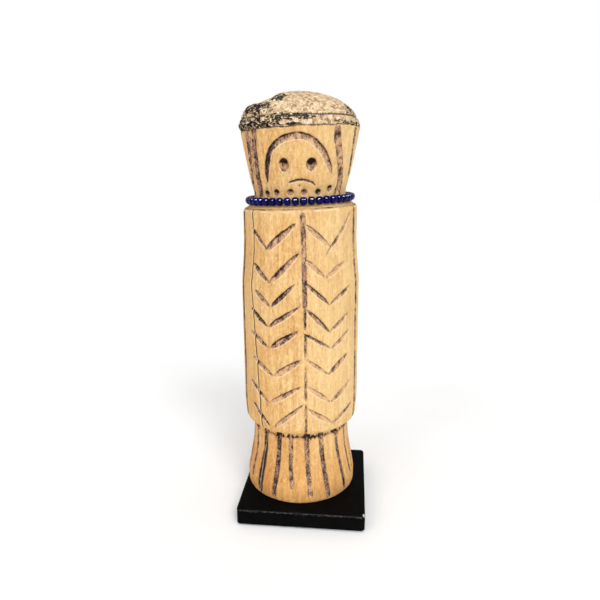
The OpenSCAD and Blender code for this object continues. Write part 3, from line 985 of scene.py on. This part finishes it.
def lacquer_material():
    """Black lacquer, scuffed along the base's top edges, with a painted highlight along the front top
    edge, where the pale marks are strongest.
    """
    s = Shader("black_lacquer")
    haze = s.noise(0.25, 4, 0.6)
    body = s.tones(haze, (0.35, 1, 1, 1), (0.7, 4, 4, 4))
    edge_dashes = s.noise((0.5, 1.6, 1.6), 5, 0.75, 1.0)
    # The pale marks on the top edges are rubbed lacquer and, along the front, a painted highlight.
    front = s.step(s.axis("Y"), BASE_LOW.y / MM + 2, BASE_LOW.y / MM + 12, 1.0, 0.3)
    edge = s.times(s.step(s.attribute("edge_gap"), 0.2, 0.9, 1.0, 0.0), front)
    rubbed_and_highlit = s.step(s.times(edge, 0.17, edge_dashes), 0.63, 0.72)
    bare = s.tones(s.noise(1.7, 3, 0.6), (0.38, 26, 22, 23), (0.66, 112, 106, 105))
    final = s.mix(rubbed_and_highlit, body, bare)
    final = s.mix(s.step(s.attribute("chip"), 0.25, 0.45), final, (190, 182, 174))
    dust = s.noise(2.2, 2, 0.5)
    final = s.mix(s.step(dust, 0.75, 0.80, 0.0, 0.2), final, (80, 78, 76))
    rough = s.times(haze, 0.3, s.times(rubbed_and_highlit, 0.3, 0.34))
    brush = s.noise((0.05, 1.2, 1.2), 3, 0.5)
    height = s.times(rubbed_and_highlit, -0.6, s.times(brush, 0.4))
    return s.finish(Base_Color=final, Roughness=rough, Specular_IOR_Level=0.02,
                    Normal=s.bump(height, 0.08, 0.6))


def felt_material():
    s = Shader("felt")
    fuzz = s.noise(3.0, 5, 0.7, 1.0)
    tint = s.tones(fuzz, (0.35, 20, 40, 28), (0.65, 52, 84, 62))
    return s.finish(Base_Color=tint, Roughness=0.95, Sheen_Weight=0.4,
                    Normal=s.bump(fuzz, 0.25, 0.9))


def steel_material():
    s = Shader("pin_steel")
    drawn = s.noise((3.0, 3.0, 0.15), 3, 0.6)
    tint = s.tones(drawn, (0.3, 150, 152, 156), (0.7, 196, 198, 202))
    return s.finish(Base_Color=tint, Metallic=1.0, Roughness=s.step(drawn, 0.3, 0.7, 0.24, 0.42),
                    Normal=s.bump(drawn, 0.03, 0.6))


def thread_material():
    s = Shader("thread")
    fibre = s.noise(5.0, 3, 0.6)
    # Near black: painted shade for the gaps between the beads, where the thread shows.
    tint = s.tones(fibre, (0.3, 10, 9, 22), (0.7, 34, 30, 48))
    return s.finish(Base_Color=tint, Roughness=0.8, Sheen_Weight=0.2,
                    Normal=s.bump(fibre, 0.05, 0.8))


def floor_material():
    s = Shader("pale_floor")
    tone = s.noise(0.01, 2, 0.5)
    tint = s.tones(tone, (0.3, 246, 246, 246), (0.7, 250, 250, 250))
    return s.finish(Base_Color=tint, Roughness=0.7, Specular_IOR_Level=0.2)


# -------- camera and studio

def make_camera():
    camera = bpy.data.cameras.new("camera")
    camera.lens, camera.sensor_width = CAMERA_LENS, 36.0
    camera.clip_start, camera.clip_end = 0.01, 20
    obj = new_object("camera", camera)
    obj.location = FOOT + MM * Vector((CAMERA_OUT * math.sin(CAMERA_AZIMUTH),
                                       -CAMERA_OUT * math.cos(CAMERA_AZIMUTH), CAMERA_UP))
    turn = Matrix.Rotation(CAMERA_AZIMUTH + CAMERA_PAN, 4, "Z") @ Matrix.Rotation(
        math.radians(90 - CAMERA_DOWN_DEG), 4, "X") @ Matrix.Rotation(CAMERA_ROLL, 4, "Z")
    obj.rotation_euler = turn.to_euler()
    SCENE.camera = obj


def sun(name, azimuth, elevation, power, soft):
    """A distant soft light, given by where it stands round the doll and how wide it looks."""
    light = bpy.data.lights.new(name, "SUN")
    light.energy, light.angle = power, math.radians(soft)
    obj = new_object(name, light)
    obj.rotation_euler = (math.radians(90 - elevation), 0, math.radians(azimuth))
    return obj


def make_studio():
    SCENE.view_settings.view_transform = "Standard"
    world = bpy.data.worlds.new("studio")
    world.use_nodes = True
    SCENE.world = world
    nodes, links = world.node_tree.nodes, world.node_tree.links
    ray = nodes.new("ShaderNodeLightPath")
    strength = nodes.new("ShaderNodeMapRange")
    strength.inputs["To Min"].default_value = WORLD_LIGHT
    strength.inputs["To Max"].default_value = WORLD_SEEN
    links.new(ray.outputs["Is Camera Ray"], strength.inputs["Value"])
    links.new(strength.outputs[0], nodes["Background"].inputs["Strength"])
    nodes["Background"].inputs["Color"].default_value = (1, 1, 1, 1)
    sun("key", 28, 46, 1.12, 24)
    sun("fill", -40, 34, 0.42, 30)
    sun("top", 0, 88, 0.45, 40)
    for name, azimuth in (("glint_left", -10), ("glint_right", 34)):
        sun(name, azimuth, 48, 19.0, 26).visible_diffuse = False
    half = 3.0
    floor = mesh_object("pale_floor", [(x * half, y * half, 0) for x, y in SQUARE], [range(4)])
    floor.data.materials.append(floor_material())


# -------- the scene

make_camera()
make_studio()

figure = make_figure()
figure.data.materials.append(wood_material())
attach(figure, "figure")
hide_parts("carved_figure")

glass = glass_material()
for bead in make_beads():
    bead.data.materials.append(glass)
thread_finish = thread_material()
make_thread().data.materials.append(thread_finish)
make_knot().data.materials.append(thread_finish)
make_base().data.materials.append(lacquer_material())
make_felt().data.materials.append(felt_material())
pins = frame["nodes"]["mounting_pins"]
pins.data.materials.clear()
pins.data.materials.append(steel_material())
